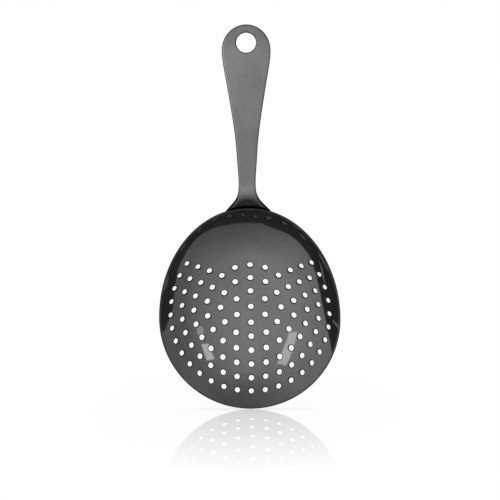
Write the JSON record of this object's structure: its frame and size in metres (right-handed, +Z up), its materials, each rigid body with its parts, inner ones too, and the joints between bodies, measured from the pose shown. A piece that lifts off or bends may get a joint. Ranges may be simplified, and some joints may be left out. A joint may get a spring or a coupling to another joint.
{
  "type": "julep strainer",
  "caption": "Egg-shaped perforated sheet-metal bowl on a flat tapered handle that leans back and ends in a rounded head with a hang hole.",
  "frame": {"origin": "centre of the hang hole, halfway through the handle's thickness", "axes": "+Z up in the rim plane, from the bowl to the handle's tip; +Y from the open side of the bowl to its convex side; +X across the bowl"},
  "size_m": [0.078, 0.0233, 0.1658],
  "materials": {
    "bowl_metal": "stainless steel sheet, polished and plated gunmetal black",
    "handle_metal": "stainless steel strip, satin polished and plated gunmetal black",
    "weld_metal": "fused stainless steel under the same dark plating"
  },
  "bodies": {
    "root": {"bowl": "bowl_metal", "handle": "handle_metal", "weld_nuggets": "weld_metal"}
  },
  "joints": []
}
